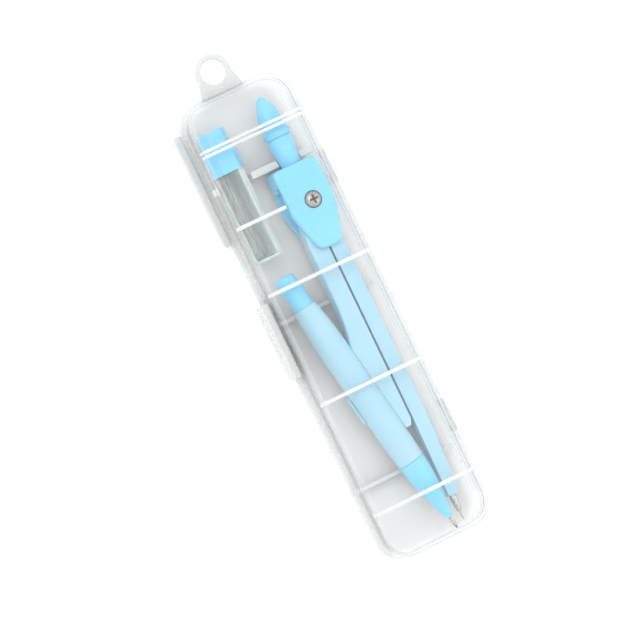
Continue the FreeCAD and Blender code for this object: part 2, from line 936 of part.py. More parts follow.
def make_pencil_leg():
    """The left leg, with the snap clip for the pencil. Its eye takes the rear half of the head."""
    body = new_body("pencil_leg", at_pivot())
    wide, end, high = "pencil_leg_wide", "pencil_leg_end", "clip_high"
    plan = outline(
        new_sketch(body, "XY_Plane", "pencil_leg_plan", "-leg_half"),
        [
            ("-pencil_inner - 0.8", f"-{end}"),
            ("-pencil_inner", f"-{end} + 2.2"),
            ("-pencil_inner", "0"),
            ("-5.2", "0"),
            ("-6.4", "-6", "40"),
            (f"-{wide}", "-16"),
            (f"-{wide}", f"-{high} + 17", "-58"),
            (beside_pencil(f"-{high}", "2.9"), f"-{high} - 2"),
            (beside_pencil(f"-{end}", "3.1"), f"-{end}"),
        ],
    )
    pad(body, plan, "2 * leg_half")
    soften(
        body,
        "pencil_leg_edges",
        "leg_edge",
        lambda e: box_of(e).YLength > 15
        and box_of(e).XLength < 0.5
        and box_of(e).XMin < -size("pencil_leg_wide") + 0.3,
    )
    rod(body, "pencil_leg_eye", ("0", "0", "-leg_half"), "eye_radius", "2 * leg_half")
    lap = ("0", "0", "-eye_gap")
    rod(body, "pencil_leg_lap", lap, "eye_clear", "leg_half + 1 + eye_gap", cut=True)
    below = ("0", "0", "-leg_half - 1")
    rod(body, "pencil_leg_bore", below, "screw_shank + bore_gap", "2 * leg_half + 2", cut=True)
    turn = pencil_frame().Rotation
    level_up = "pencil_rise - mid_rise"
    start = (beside_pencil("-clip_foot", "0"), "-clip_foot", level_up)
    rod(body, "clip_shell", start, "barrel_radius + clip_gap + clip_wall", "clip_length", turn)
    start = (beside_pencil("-clip_foot - 20", "0"), "-clip_foot - 20", level_up)
    rod(body, "clip_bore", start, "barrel_radius + clip_gap", "clip_length + 50", turn, cut=True)

    # the mouth opens up and to the left: its left lip is the lower one
    foot, head = "-clip_foot - 3", "-clip_foot + clip_length + 6"
    for name, lift, near, far in (
        ("clip_mouth_left", "clip_low_lip", "-8", "-1"),
        ("clip_mouth_top", "clip_lip", "-2", "8"),
    ):
        mouth = outline(
            new_sketch(body, "XY_Plane", name, f"{level_up} + {lift}"),
            [
                (beside_pencil(foot, near), foot),
                (beside_pencil(foot, far), foot),
                (beside_pencil(head, far), head),
                (beside_pencil(head, near), head),
            ],
        )
        pad(body, mouth, "leg_half + 8", cut=True)
    return body


def make_needle():
    """The tapered steel sleeve and the needle it holds, both on one axis below the right leg."""
    place = at_pivot()
    place.Base = place.Base + FreeCAD.Vector(size("needle_across"), -size("needle_leg_end"), 0)
    down = FreeCAD.Rotation(FreeCAD.Vector(1, 0, 0), 90)
    frame = FreeCAD.Placement(place.Base, down)
    sleeve = new_body("needle_sleeve", frame)
    bore = "needle_radius + 0.02"
    turned(
        sleeve,
        "sleeve_profile",
        [
            (bore, "-8.5"),
            ("sleeve_stem", "-8.5"),
            ("sleeve_stem", "0.02"),
            ("sleeve_radius", "0.02"),
            ("sleeve_radius", "1.6"),
            ("0.85", "5.2"),
            (bore, "6.2"),
        ],
    )
    needle = new_body("needle_point", frame)
    turned(
        needle,
        "needle_profile",
        [
            ("0", "-7"),
            ("needle_radius", "-7"),
            ("needle_radius", "6.6"),
            ("0.06", "9.3"),
            ("0", "9.3"),
        ],
    )
    return sleeve, needle


# ---------------------------------------------------------------- the mechanical pencil
def make_barrel():
    body = new_body("pencil_barrel", pencil_frame())
    turned(
        body,
        "barrel_profile",
        [
            ("nose_bore + 0.9", "barrel_low - 4"),
            ("3.2", "barrel_low - 4"),
            ("3.2", "barrel_low"),
            ("barrel_radius - barrel_taper", "barrel_low", "400"),
            ("barrel_radius", "barrel_straight_low"),
            ("barrel_radius", "barrel_straight_top", "150"),
            ("barrel_neck", "barrel_top - 0.3"),
            ("barrel_neck - 0.15", "barrel_top"),
            ("barrel_bore", "barrel_top"),
            ("barrel_bore", "barrel_top - 9"),
            ("nose_bore + 0.9", "barrel_top - 10"),
        ],
    )
    return body


def make_nose():
    body = new_body("pencil_nose", pencil_frame())
    turned(
        body,
        "nose_profile",
        [
            ("guide_radius + 0.02", "4.7"),
            ("1.15", "4.7", "60"),
            ("2.4", "10.4", "60"),
            ("3.55", "16.5", "50"),
            ("barrel_radius - barrel_taper - 0.05", "barrel_low - 0.1"),
            ("3.25", "barrel_low - 0.1"),
            ("3.25", "barrel_low - 4.2"),
            ("nose_bore", "barrel_low - 4.2"),
            ("nose_bore", "15"),
            ("guide_radius + 0.02", "11"),
        ],
    )
    return body


def make_pencil_works():
    """The metal guide, the lead, and the clutch that the button pushes."""
    frame = pencil_frame()
    guide = new_body("lead_guide", frame)
    bore = "lead_radius + 0.04"
    turned(
        guide,
        "guide_profile",
        [
            (bore, "1.1"),
            ("0.55", "1.1"),
            ("0.6", "3.9"),
            ("guide_radius", "4.4"),
            ("guide_radius", "10.6"),
            (bore, "10.6"),
        ],
    )
    lead = new_body("pencil_lead", frame)
    rod(lead, "lead_bar", ("0", "0", "0.3"), "lead_radius", "54")
    soften(lead, "lead_end", "0.12", lambda e: level(e, 0.3), "Chamfer")

    chuck = new_body("lead_chuck", frame)
    turned(
        chuck,
        "chuck_profile",
        [
            (bore, "15.4"),
            ("chuck_radius + 0.15", "15.4"),
            ("chuck_radius + 0.15", "17.2"),
            ("chuck_radius", "17.8"),
            ("chuck_radius", "38"),
            (bore, "38"),
        ],
    )
    for name, long, wide in (("jaw_slot_one", "2", "0.09"), ("jaw_slot_two", "0.09", "2")):
        block(chuck, name, (f"-{long}", f"-{wide}", "15"), (long, wide, "20"), cut=True)

    ring = new_body("clutch_ring", frame)
    turned(
        ring,
        "ring_profile",
        [
            ("chuck_radius + 0.2", "18"),
            ("nose_bore - 0.03", "18"),
            ("nose_bore - 0.03", "20.2"),
            ("chuck_radius + 0.05", "20.2"),
        ],
    )
    reservoir = new_body("lead_reservoir", frame)
    turned(
        reservoir,
        "reservoir_profile",
        [
            ("chuck_radius + 0.02", "33"),
            ("reservoir_radius + 0.5", "33"),
            ("reservoir_radius + 0.5", "34"),
            ("reservoir_radius", "34"),
            ("reservoir_radius", "barrel_top + 4"),
            ("chuck_radius + 0.02", "barrel_top + 4"),
        ],
    )
    return guide, lead, chuck, ring, reservoir


def make_spring():
    """The clutch spring, between the clutch ring and the reservoir's shoulder."""
    body = new_body("clutch_spring", pencil_frame())
    wire = disc(
        new_sketch(body, "XZ_Plane", "spring_wire_section"), "spring_radius", "20.6", "spring_wire"
    )
    helix = body.newObject("PartDesign::AdditiveHelix", "spring_helix")
    helix.Profile = wire
    helix.ReferenceAxis = (wire, ["V_Axis"])
    helix.Mode = 0
    helix.Pitch = 1.45
    helix.Height = 11.7
    return body


def make_button():
    body = new_body("push_button", pencil_frame())
    top = "button_top"
    turned(
        body,
        "button_profile",
        [
            ("reservoir_radius + 0.03", "barrel_top - 4.5"),
            ("button_radius", "barrel_top - 4.5"),
            ("button_radius", f"{top} - 3.6"),
            ("button_radius - 0.12", f"{top} - 3.4"),
            ("button_radius - 0.2", f"{top} - 1", "1.1"),
            ("button_radius - 1.1", top),
            ("0", top),
            ("0", "barrel_top + 4.05"),
            ("reservoir_radius + 0.03", "barrel_top + 4.05"),
        ],
    )
    return body


# ---------------------------------------------------------------- the spare leads
def tube_frame():
    """The tube's own frame: origin on its axis at the case's middle, +Z along the case."""
    base = FreeCAD.Vector(size("tube_across"), 0, size("tube_rise"))
    return FreeCAD.Placement(base, TURN_TO["y"])


def make_tube():
    body = new_body("lead_tube", tube_frame())
    shell = hexagon(new_sketch(body, "XY_Plane", "tube_plan", "tube_low"), "tube_flats")
    pad(body, shell, "tube_high - tube_low")
    hollow = hexagon(
        new_sketch(body, "XY_Plane", "tube_hollow", "tube_low + tube_wall"),
        "tube_flats - 2 * tube_wall",
    )
    pad(body, hollow, "tube_high - tube_low", cut=True)
    return body


def make_cap():
    body = new_body("lead_tube_cap", tube_frame())
    collar = hexagon(new_sketch(body, "XY_Plane", "collar_plan", "cap_low"), "collar_flats")
    pad(body, collar, "collar_high - cap_low")
    soften(body, "collar_edge", "0.45", lambda e: level(e, size("collar_high")))
    head = hexagon(new_sketch(body, "XY_Plane", "cap_plan", "collar_high - 1"), "cap_flats")
    pad(body, head, "cap_high - collar_high + 1")
    soften(body, "cap_edge", "0.6", lambda e: level(e, size("cap_high")))
    skirt = hexagon(
        new_sketch(body, "XY_Plane", "cap_hollow", "cap_low - 1"), "tube_flats + 2 * cap_gap"
    )
    pad(body, skirt, "tube_high - cap_low + 1.1", cut=True)
    block(
        body,
        "thumb_notch",
        ("4.4", "-4.2", "cap_low + 1.6"),
        ("7", "-2.6", "cap_low + 2.4"),
        cut=True,
    )
    return body


LEAD_ROWS = (5, 6, 7, 6)
LEAN = math.radians(210)


def make_spare_leads():
    """Loose leads in staggered rows, lying against the tube's lower left wall."""
    pitch = size("spare_lead_pitch")
    radius = size("lead_radius")
    length = size("spare_lead_length")
    floor = size("tube_low + tube_wall + 0.3")
    wall = size("tube_flats / 2 - tube_wall")
    rods = []
    for row, count in enumerate(LEAD_ROWS):
        from_axis = wall - radius - 0.08 - row * pitch * 0.87
        for n in range(count):
            beside = (n - (count - 1) / 2) * pitch
            across = from_axis * math.cos(LEAN) - beside * math.sin(LEAN)
            rise = from_axis * math.sin(LEAN) + beside * math.cos(LEAN)
            slip = 0.35 * ((2 * n + row) % 3)
            rods.append(Part.makeCylinder(radius, length, FreeCAD.Vector(across, -rise, floor + slip)))
    leads = doc.addObject("Part::Feature", "spare_leads")
    leads.Label = "spare_leads"
    leads.Shape = Part.makeCompound(rods)
    leads.Placement = tube_frame()
    return leads


# ---------------------------------------------------------------- build, check and write
def main():
    pieces = [
        make_base(),
        make_hanging_tab(),
        make_lid(),
        make_latch(),
        make_head_cover("head_front_cover", front=True),
        make_head_cover("head_rear_cover", front=False),
        make_neck(),
        make_grip(),
        make_screw(),
        make_nut(),
        make_washer(),
        make_needle_leg(),
        make_pencil_leg(),
        *make_needle(),
        make_barrel(),
        make_nose(),
        *make_pencil_works(),
        make_spring(),
        make_button(),
        make_tube(),
        make_cap(),
        make_spare_leads(),
    ]
    doc.recompute()
    for thing in doc.Objects:
        if {"Invalid", "Error"} & set(thing.State):
            raise RuntimeError(f"{thing.Label} failed: {thing.State}")
    for piece in pieces:
        if piece.Shape.isNull() or not piece.Shape.isValid():
            raise RuntimeError(f"{piece.Label} has no valid shape")
        wanted = sum(LEAD_ROWS) if piece.Label == "spare_leads" else 1
        if len(piece.Shape.Solids) != wanted:
            raise RuntimeError(f"{piece.Label} should be {wanted} solid(s)")
    os.makedirs("parts", exist_ok=True)
    for piece in pieces:
        piece.Shape.exportStep(f"parts/{piece.Label}.step")
        solids = len(piece.Shape.Solids)
        print(f"{piece.Label}: {solids} solid(s), {piece.Shape.Volume:.1f} mm3")


main()
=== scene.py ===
"""Looks of the drafting compass set: materials, rounded pieces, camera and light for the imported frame."""

import json
import math

import bmesh
import bpy
from mathutils import Matrix, Vector


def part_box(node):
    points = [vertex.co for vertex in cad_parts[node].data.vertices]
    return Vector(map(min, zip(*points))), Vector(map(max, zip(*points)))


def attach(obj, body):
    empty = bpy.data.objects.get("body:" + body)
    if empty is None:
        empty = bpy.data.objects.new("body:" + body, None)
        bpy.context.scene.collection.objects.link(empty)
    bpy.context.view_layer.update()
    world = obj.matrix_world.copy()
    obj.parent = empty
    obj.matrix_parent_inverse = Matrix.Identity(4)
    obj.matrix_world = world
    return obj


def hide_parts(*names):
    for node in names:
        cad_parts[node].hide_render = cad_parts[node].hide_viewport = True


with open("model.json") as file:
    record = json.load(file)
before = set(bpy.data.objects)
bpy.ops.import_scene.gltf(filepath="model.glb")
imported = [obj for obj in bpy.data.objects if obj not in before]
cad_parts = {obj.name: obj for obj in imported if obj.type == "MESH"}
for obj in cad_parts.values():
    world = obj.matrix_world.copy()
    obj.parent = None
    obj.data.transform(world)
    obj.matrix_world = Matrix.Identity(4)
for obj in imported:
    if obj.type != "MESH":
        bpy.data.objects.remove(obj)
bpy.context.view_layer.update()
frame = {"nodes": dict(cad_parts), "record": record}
MM = 0.001
PLASTIC_IOR = 1.49
# low, so that the tube does not magnify the leads as a lens
TUBE_IOR = 1.05
# angles in degrees
SHARP_ANGLE = 35
FLAT_ANGLE = 0.5
# a face whose normal rises less than this is upright
UPRIGHT = 0.6


# ---------------------------------------------------------------- materials
def node_material(name):
    """A new node material: (material, nodes, link, principled shader)."""
    material = bpy.data.materials.new(name)
    material.use_nodes = True
    nodes = material.node_tree.nodes
    return material, nodes, material.node_tree.links.new, nodes["Principled BSDF"]


def coordinates(nodes, link, scale=(1, 1, 1)):
    """The object coordinates, stretched by the scale."""
    place = nodes.new("ShaderNodeTexCoord")
    mapping = nodes.new("ShaderNodeMapping")
    mapping.inputs["Scale"].default_value = scale
    link(place.outputs["Object"], mapping.inputs["Vector"])
    return mapping.outputs["Vector"]


def noise(nodes, link, vector, scale, detail):
    texture = nodes.new("ShaderNodeTexNoise")
    texture.inputs["Scale"].default_value = scale
    texture.inputs["Detail"].default_value = detail
    link(vector, texture.inputs["Vector"])
    return texture.outputs["Fac"]


def spread(nodes, link, factor, low, high, start=0.3, stop=0.7):
    """The factor, remapped to low..high."""
    ranged = nodes.new("ShaderNodeMapRange")
    ranged.inputs["From Min"].default_value = start
    ranged.inputs["From Max"].default_value = stop
    ranged.inputs["To Min"].default_value = low
    ranged.inputs["To Max"].default_value = high
    link(factor, ranged.inputs["Value"])
    return ranged.outputs["Result"]


def ramp(nodes, link, factor, *stops):
    """The factor as a colour, from (position, rgb) stops."""
    made = nodes.new("ShaderNodeValToRGB")
    elements = made.color_ramp.elements
    while len(elements) < len(stops):
        elements.new(0.5)
    for element, (position, colour) in zip(elements, stops):
        element.position = position
        element.color = (*colour, 1.0)
    link(factor, made.inputs["Fac"])
    return made.outputs["Color"]


def bump(nodes, link, height, strength, distance):
    made = nodes.new("ShaderNodeBump")
    made.inputs["Strength"].default_value = strength
    made.inputs["Distance"].default_value = distance
    link(height, made.inputs["Height"])
    return made.outputs["Normal"]


def tinted(nodes, link, factor, tint, dim):
    """The tint, which drifts with the factor to a shade of it."""
    shade = [c * dim for c in tint]
    return ramp(nodes, link, factor, (0.3, shade), (0.7, tint))


def edge_on(nodes, link, blend, straight, edge, start, stop):
    """A value that goes from straight, on faces seen straight on, to edge, on faces seen edge on."""
    facing = nodes.new("ShaderNodeLayerWeight")
    facing.inputs["Blend"].default_value = blend
    return spread(nodes, link, facing.outputs["Facing"], straight, edge, start, stop)


def moulded_plastic(name, light, dark, roughness, glow=0.35):
    """Coloured injection-moulded plastic: slow colour drift, faint orange peel, a little light inside."""
    material, nodes, link, shader = node_material(name)
    place = coordinates(nodes, link)
    drift = noise(nodes, link, place, 60, 2)
    link(ramp(nodes, link, drift, (0.3, dark), (0.7, light)), shader.inputs["Base Color"])
    grain = noise(nodes, link, place, 900, 4)
    uneven = spread(nodes, link, grain, roughness - 0.05, roughness + 0.07)
    link(uneven, shader.inputs["Roughness"])
    link(bump(nodes, link, grain, 0.08, 0.0001), shader.inputs["Normal"])
    shader.inputs["Subsurface Weight"].default_value = glow
    shader.inputs["Subsurface Radius"].default_value = (0.6, 1.0, 1.4)
    shader.inputs["Subsurface Scale"].default_value = 1.2 * MM
    shader.inputs["IOR"].default_value = PLASTIC_IOR
    return material


def clear_plastic(name, tint, low, high, roughness, haze):
    """Clear moulded plastic, denser where it is seen edge on."""
    material, nodes, link, shader = node_material(name)
    place = coordinates(nodes, link)
    cloud = noise(nodes, link, place, 45, 3)
    link(tinted(nodes, link, cloud, tint, 0.95), shader.inputs["Base Color"])
    link(edge_on(nodes, link, 0.35, low, high, 0.5, 0.97), shader.inputs["Alpha"])
    grain = noise(nodes, link, place, 700, 3)
    link(spread(nodes, link, grain, roughness, roughness + haze), shader.inputs["Roughness"])
    link(bump(nodes, link, cloud, 0.1, 0.0004), shader.inputs["Normal"])
    shader.inputs["IOR"].default_value = PLASTIC_IOR
    return material


def glassy_plastic(name, tint, roughness, haze):
    """Clear plastic that light goes nearly straight through, denser where it is seen edge on."""
    material, nodes, link, shader = node_material(name)
    place = coordinates(nodes, link, (1, 0.25, 1))
    cloud = noise(nodes, link, place, 120, 3)
    link(tinted(nodes, link, cloud, tint, 0.97), shader.inputs["Base Color"])
    link(spread(nodes, link, cloud, roughness, roughness + haze), shader.inputs["Roughness"])
    link(bump(nodes, link, cloud, 0.08, 0.0003), shader.inputs["Normal"])
    through = edge_on(nodes, link, 0.5, 1.0, 0.35, 0.35, 0.95)
    link(through, shader.inputs["Transmission Weight"])
    shader.inputs["IOR"].default_value = TUBE_IOR
    return material


def metal(name, colour, roughness):
    """Plated or turned metal with fine tool marks."""
    material, nodes, link, shader = node_material(name)
    marks = noise(nodes, link, coordinates(nodes, link), 1500, 4)
    dark = [c * 0.72 for c in colour]
    link(ramp(nodes, link, marks, (0.35, dark), (0.65, colour)), shader.inputs["Base Color"])
    link(spread(nodes, link, marks, roughness, roughness + 0.18), shader.inputs["Roughness"])
    link(bump(nodes, link, marks, 0.12, 0.00005), shader.inputs["Normal"])
    shader.inputs["Metallic"].default_value = 1.0
    return material


def frosted_plastic(name, tint, low, high):
    """Clear plastic where it is thick or ribbed: milky, densest where it is seen edge on."""
    material, nodes, link, shader = node_material(name)
    place = coordinates(nodes, link)
    cloud = noise(nodes, link, place, 70, 3)
    link(tinted(nodes, link, cloud, tint, 0.96), shader.inputs["Base Color"])
    link(edge_on(nodes, link, 0.4, low, high, 0.05, 0.9), shader.inputs["Alpha"])
    grain = noise(nodes, link, place, 800, 3)
    link(spread(nodes, link, grain, 0.22, 0.4), shader.inputs["Roughness"])
    link(bump(nodes, link, cloud, 0.12, 0.0003), shader.inputs["Normal"])
    shader.inputs["IOR"].default_value = PLASTIC_IOR
    return material


def graphite(name, dark, light):
    """Dull grey lead, streaked along its length."""
    material, nodes, link, shader = node_material(name)
    place = coordinates(nodes, link, (1, 0.1, 1))
    streak = noise(nodes, link, place, 1400, 3)
    link(ramp(nodes, link, streak, (0.3, dark), (0.7, light)), shader.inputs["Base Color"])
    link(spread(nodes, link, streak, 0.35, 0.6), shader.inputs["Roughness"])
    return material


SKY = moulded_plastic("sky_plastic_look", (0.185, 0.57, 0.80), (0.15, 0.53, 0.78), 0.3)
PALE = moulded_plastic("pale_plastic_look", (0.34, 0.57, 0.68), (0.30, 0.54, 0.66), 0.36)
WASHER = moulded_plastic("washer_look", (0.8, 0.8, 0.77), (0.72, 0.72, 0.7), 0.5, 0.1)
CASE = clear_plastic("clear_case_look", (0.93, 0.945, 0.94), 0.05, 0.55, 0.10, 0.16)
FROSTED = frosted_plastic("frosted_case_look", (0.88, 0.90, 0.90), 0.6, 0.92)
# a darker copy of the frosted case plastic: painted shade, a grey tint, on the latch, the side ledge and
# the hanging ring, which are the same clear plastic as the case
FROSTED_SHADED = frosted_plastic("frosted_tab_painted_shade_look", (0.66, 0.675, 0.665), 0.62, 0.95)
# the case's own clear plastic in two copies for its upright walls: painted shade, a grey tint, on the faces
# that point outwards, and painted light, a near-white tint, on the faces that point inwards
CASE_WALL_SHADING = (
    clear_plastic("case_outer_wall_painted_shade_look", (0.47, 0.49, 0.49), 0.15, 0.68, 0.14, 0.16),
    clear_plastic("case_inner_wall_painted_light_look", (0.96, 0.97, 0.97), 0.2, 0.8, 0.14, 0.16),
)
# painted highlights: the milky look of the bright streaks drawn inside the tube's wall
TUBE_HIGHLIGHTS = frosted_plastic("tube_painted_highlight_look", (0.80, 0.95, 0.89), 0.75, 0.95)
TUBE = glassy_plastic("clear_tube_look", (0.975, 1.0, 0.99), 0.03, 0.08)
STEEL = metal("steel_look", (0.52, 0.51, 0.50), 0.2)
SCREW = metal("screw_look", (0.46, 0.42, 0.37), 0.2)
# near-black look for painted shade in the screw's cross recess and in the gap around its head
SCREW_SHADE = metal("screw_painted_shade_look", (0.06, 0.052, 0.045), 0.35)
BRASS = metal("brass_look", (0.80, 0.60, 0.28), 0.25)
GRAPHITE = graphite("graphite_look", (0.03, 0.032, 0.036), (0.10, 0.105, 0.115))
# the same graphite as the pencil's lead, painted far lighter: painted light standing in for the haze of
# light laid over the leads by the tube's wall, and for their sheen
SPARE_LEADS_HAZED = graphite("spare_lead_painted_haze_look", (0.27, 0.285, 0.275), (0.56, 0.575, 0.565))
LOOKS = {
    "sky_plastic": SKY,
    "pale_plastic": PALE,
    "washer_plastic": WASHER,
    "steel": STEEL,
    "brass": BRASS,
    "graphite": GRAPHITE,
}


# ---------------------------------------------------------------- pieces carried over from the frame
def dress(node, material):
    """Give a frame piece its material, smooth shading, and rounded edges by modifiers."""
    piece = frame["nodes"][node]
    piece.data.materials.clear()
    piece.data.materials.append(material)
    for face in piece.data.polygons:
        face.use_smooth = True
    weld = piece.modifiers.new("weld", "WELD")
    weld.merge_threshold = 0.002 * MM
    flat = piece.modifiers.new("flat", "DECIMATE")
    flat.decimate_type = "DISSOLVE"
    flat.angle_limit = math.radians(FLAT_ANGLE)
    edge = piece.modifiers.new("edge", "BEVEL")
    edge.width = 0.15 * MM
    edge.segments = 3
    edge.limit_method = "ANGLE"
    edge.angle_limit = math.radians(SHARP_ANGLE)
    edge.harden_normals = True


OWN_LOOKS = {"pivot_screw": SCREW, "spare_leads": SPARE_LEADS_HAZED, "latch_flap": FROSTED_SHADED}
REPLACED = {"case_lid", "case_base", "hanging_tab", "lead_tube"}
for entry in frame["record"]["subparts"]:
    node = entry["node"]
    if node not in REPLACED:
        dress(node, OWN_LOOKS[node] if node in OWN_LOOKS else LOOKS[entry["material_slot"]])


# ---------------------------------------------------------------- ways of making a piece
def finish_piece(name, shape, material, body, node, walls=()):
    """Turn a bmesh into a shown piece that rides on its body and stands for its frame node.

    walls holds the looks of the upright faces that point outwards and inwards, where they
    have their own: painted shade on the outward faces, painted light on the inward ones. A piece without a
    node is shown as well as the frame's own pieces.
    """
    bmesh.ops.remove_doubles(shape, verts=shape.verts, dist=1e-4 * MM)
    bmesh.ops.recalc_face_normals(shape, faces=shape.faces)
    mesh = bpy.data.meshes.new(name)
    shape.to_mesh(mesh)
    shape.free()
    for face in mesh.polygons:
        face.use_smooth = True
    mesh.set_sharp_from_angle(angle=math.radians(SHARP_ANGLE))
    for look in (material, *walls):
        mesh.materials.append(look)
    # upright faces take the painted-shade look if they face outwards and the painted-light look if they
    # face inwards
    if walls:
        for face in mesh.polygons:
            outwards = face.normal.x * face.center.x + face.normal.y * face.center.y
            if abs(face.normal.z) < UPRIGHT:
                face.material_index = 1 if outwards > 0 else 2
    piece = bpy.data.objects.new(name, mesh)
    bpy.context.scene.collection.objects.link(piece)
    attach(piece, body)
    if node:
        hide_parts(node)


def add_rings(shape, rings):
    return [[shape.verts.new(point) for point in ring] for ring in rings]


def join(shape, low, high):
    """Quads between two rings of equally many points."""
    for n in range(len(low)):
        after = (n + 1) % len(low)
        shape.faces.new((low[n], low[after], high[after], high[n]))


def skin(shape, rings):
    """Join rings with quads, and close the two ends."""
    rows = add_rings(shape, rings)
    for low, high in zip(rows, rows[1:]):
        join(shape, low, high)
    shape.faces.new(list(reversed(rows[0])))
    shape.faces.new(rows[-1])


def skin_loop(shape, rings):
    """Join rings with quads, the last one to the first as well."""
    rows = add_rings(shape, rings)
    for low, high in zip(rows, rows[1:] + rows[:1]):
        join(shape, low, high)


def merge(shape, part):
    """Move everything in part over to shape."""
    carrier = bpy.data.meshes.new("carrier")
    part.to_mesh(carrier)
    part.free()
    shape.from_mesh(carrier)
    bpy.data.meshes.remove(carrier)


def add_bar(shape, low, high, edge):
    """A bar between two corners with rounded edges, in millimetres."""
    part = bmesh.new()
    middle = [(a + b) / 2 * MM for a, b in zip(low, high)]
    spans = [(b - a) * MM for a, b in zip(low, high)]
    turn = Matrix.Translation(middle) @ Matrix.Diagonal((*spans, 1))
    bmesh.ops.create_cube(part, size=1, matrix=turn)
    bmesh.ops.bevel(
        part, geom=part.edges[:], offset=edge * MM, segments=3, profile=0.5, affect="EDGES"
    )
    merge(shape, part)


def add_rod(shape, start, length, radius, edge=0.12, sides=40):
    """A round bar along +Y with softened ends, in millimetres."""
    x, y, z = start
    profile = [(radius - edge, 0), (radius, edge), (radius, length - edge), (radius - edge, length)]
    rings = [
        [Vector((x + r * math.cos(a), y + along, z + r * math.sin(a))) * MM for a in turns(sides)]
        for r, along in profile
    ]
    skin(shape, rings)


def turns(sides):
    """Angles that divide a full turn evenly."""
    return [2 * math.pi * n / sides for n in range(sides)]


def quarter(start, finish, steps, centre):
    """Points from start to finish along a quarter of an ellipse around the centre."""
    points = []
    for n in range(steps + 1):
        t = n / steps
        a, b = math.cos(t * math.pi / 2), math.sin(t * math.pi / 2)
        points.append(
            tuple(c + (f - c) * b + (s - c) * a for s, f, c in zip(start, finish, centre))
        )
    return points


# ---------------------------------------------------------------- the clear case, in millimetres
LID_LOW, LID_HIGH = (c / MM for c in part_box("case_lid"))
HALF_WIDE = 19.5
HALF_LONG = -LID_LOW.y
CORNER = 9.0
SMALLEST_CORNER = 0.8
WALL = 1.2
BASE_TOP = 10.0
LID_FOOT = 10.2
LID_TOP = LID_HIGH.z
ROOF_LOW = LID_TOP - WALL
SIDE = HALF_WIDE - WALL
# long bars stop this far short of SIDE, and the feet of the ribs reach this far past it
EASE = 0.1
# the foot of a bar that stands on the base's floor, just inside it
FLOOR_FOOT = 1.05

# (place along the case, thickness, whether it goes right across)
RIBS = (
    (65.7, 1.0, True),
    (64.1, 1.0, True),
    (38.6, 1.2, False),
    (14.7, 1.2, True),
    (-24.3, 1.2, True),
    (-64.1, 1.2, True),
)
RIB_DEPTH = 2.2
RIB_FOOT = 12.0
SHORT_RIB_END = -1.1

HINGES = (45.0, -45.0)
HINGE_X = HALF_WIDE + 1.5
HINGE_RADIUS = 1.3
KNUCKLE = 6
EAR = 2.5
# where each ear starts, from the middle of its hinge
EAR_STARTS = (-5.7, 3.2)
LATCH_X = -HALF_WIDE - 1.35
LATCH_Z = 12.6
LUG = 1.6
LUG_RADIUS = 1.15
LUG_STARTS = (-14.8, 13.2)

REST_PLACES = (5.0, -55.0)
REST_TOP = 4.2
CRADLE_PLACE = 52.7
CRADLE_TOP = 8.2
HALF_REST = 0.6
HALF_CRADLE = 1.2
NECK_CRADLE = 4.0
CATCH_END = 11
LEDGE_ENDS = (35.3, 74.7)


def case_ring(inset, height):
    """The case's plan, drawn in by inset, at a height."""
    steps = 14
    radius = max(CORNER - inset, SMALLEST_CORNER)
    wide, long = HALF_WIDE - inset - radius, HALF_LONG - inset - radius
    centres = ((wide, long, 0), (-wide, long, 90), (-wide, -long, 180), (wide, -long, 270))
    ring = []
    for x, y, begin in centres:
        for n in range(steps + 1):
            angle = math.radians(begin + 90 * n / steps)
            across, along = x + radius * math.cos(angle), y + radius * math.sin(angle)
            ring.append(Vector((across, along, height)) * MM)
    return ring


def make_lid_shell():
    """The lid's wall and roof, as (inset, height) outlines of its outside and its inside."""
    shoulder, roof = (0.55, 15.3), (3.0, LID_TOP)
    outer = [(0.05, LID_FOOT), (0.0, 10.3), (0.0, 11.2), (0.1, 11.4), (0.3, 11.5), shoulder]
    outer += quarter(shoulder, roof, 8, (roof[0], shoulder[1]))[1:]
    ceiling, wall_top = (3.3, ROOF_LOW), (1.55, 14.9)
    inner = quarter(ceiling, wall_top, 6, (ceiling[0], wall_top[1]))
    inner += [(1.1, 11.6), (1.05, LID_FOOT)]
    shape = bmesh.new()
    skin(shape, [case_ring(*p) for p in outer[::-1] + inner[::-1]])
    finish_piece("lid_shell", shape, CASE, "lid", "case_lid", walls=CASE_WALL_SHADING)


def make_lid_ribs():
    """Cross ribs under the roof, with a foot down each wall that they meet."""
    shape = bmesh.new()
    low, high = ROOF_LOW - RIB_DEPTH, ROOF_LOW + 0.15
    foot_top = low + 1.2
    for place, thick, across in RIBS:
        back, front = place - thick / 2, place + thick / 2
        reach = SIDE - EASE if across else SHORT_RIB_END
        add_bar(shape, (-SIDE + EASE, back, low), (reach, front, high), 0.25)
        feet = [(-SIDE - EASE, -SIDE + 0.6)]
        if across:
            feet.append((SIDE - 0.6, SIDE + EASE))
        for left, right in feet:
            add_bar(shape, (left, back, RIB_FOOT), (right, front, foot_top), 0.2)
    finish_piece("lid_ribs", shape, FROSTED, "lid", "case_lid")


def make_lid_fittings():
    """The lid's hinge knuckles and the two lugs that hold the latch."""
    shape = bmesh.new()
    half = KNUCKLE / 2
    for place in HINGES:
        add_rod(shape, (HINGE_X, place - half, BASE_TOP), KNUCKLE, HINGE_RADIUS)
        low = (HALF_WIDE - 0.5, place - half + 0.05, BASE_TOP + 0.35)
        high = (HINGE_X, place + half - 0.05, BASE_TOP + 3.1)
        add_bar(shape, low, high, 0.25)
    for start in LUG_STARTS:
        add_rod(shape, (LATCH_X, start, LATCH_Z), LUG, LUG_RADIUS)
        low = (LATCH_X, start + 0.03, LATCH_Z - 1.1)
        high = (-HALF_WIDE + 0.7, start + LUG - 0.03, LATCH_Z + 1.1)
        add_bar(shape, low, high, 0.2)
    finish_piece("lid_fittings", shape, CASE, "lid", "case_lid")


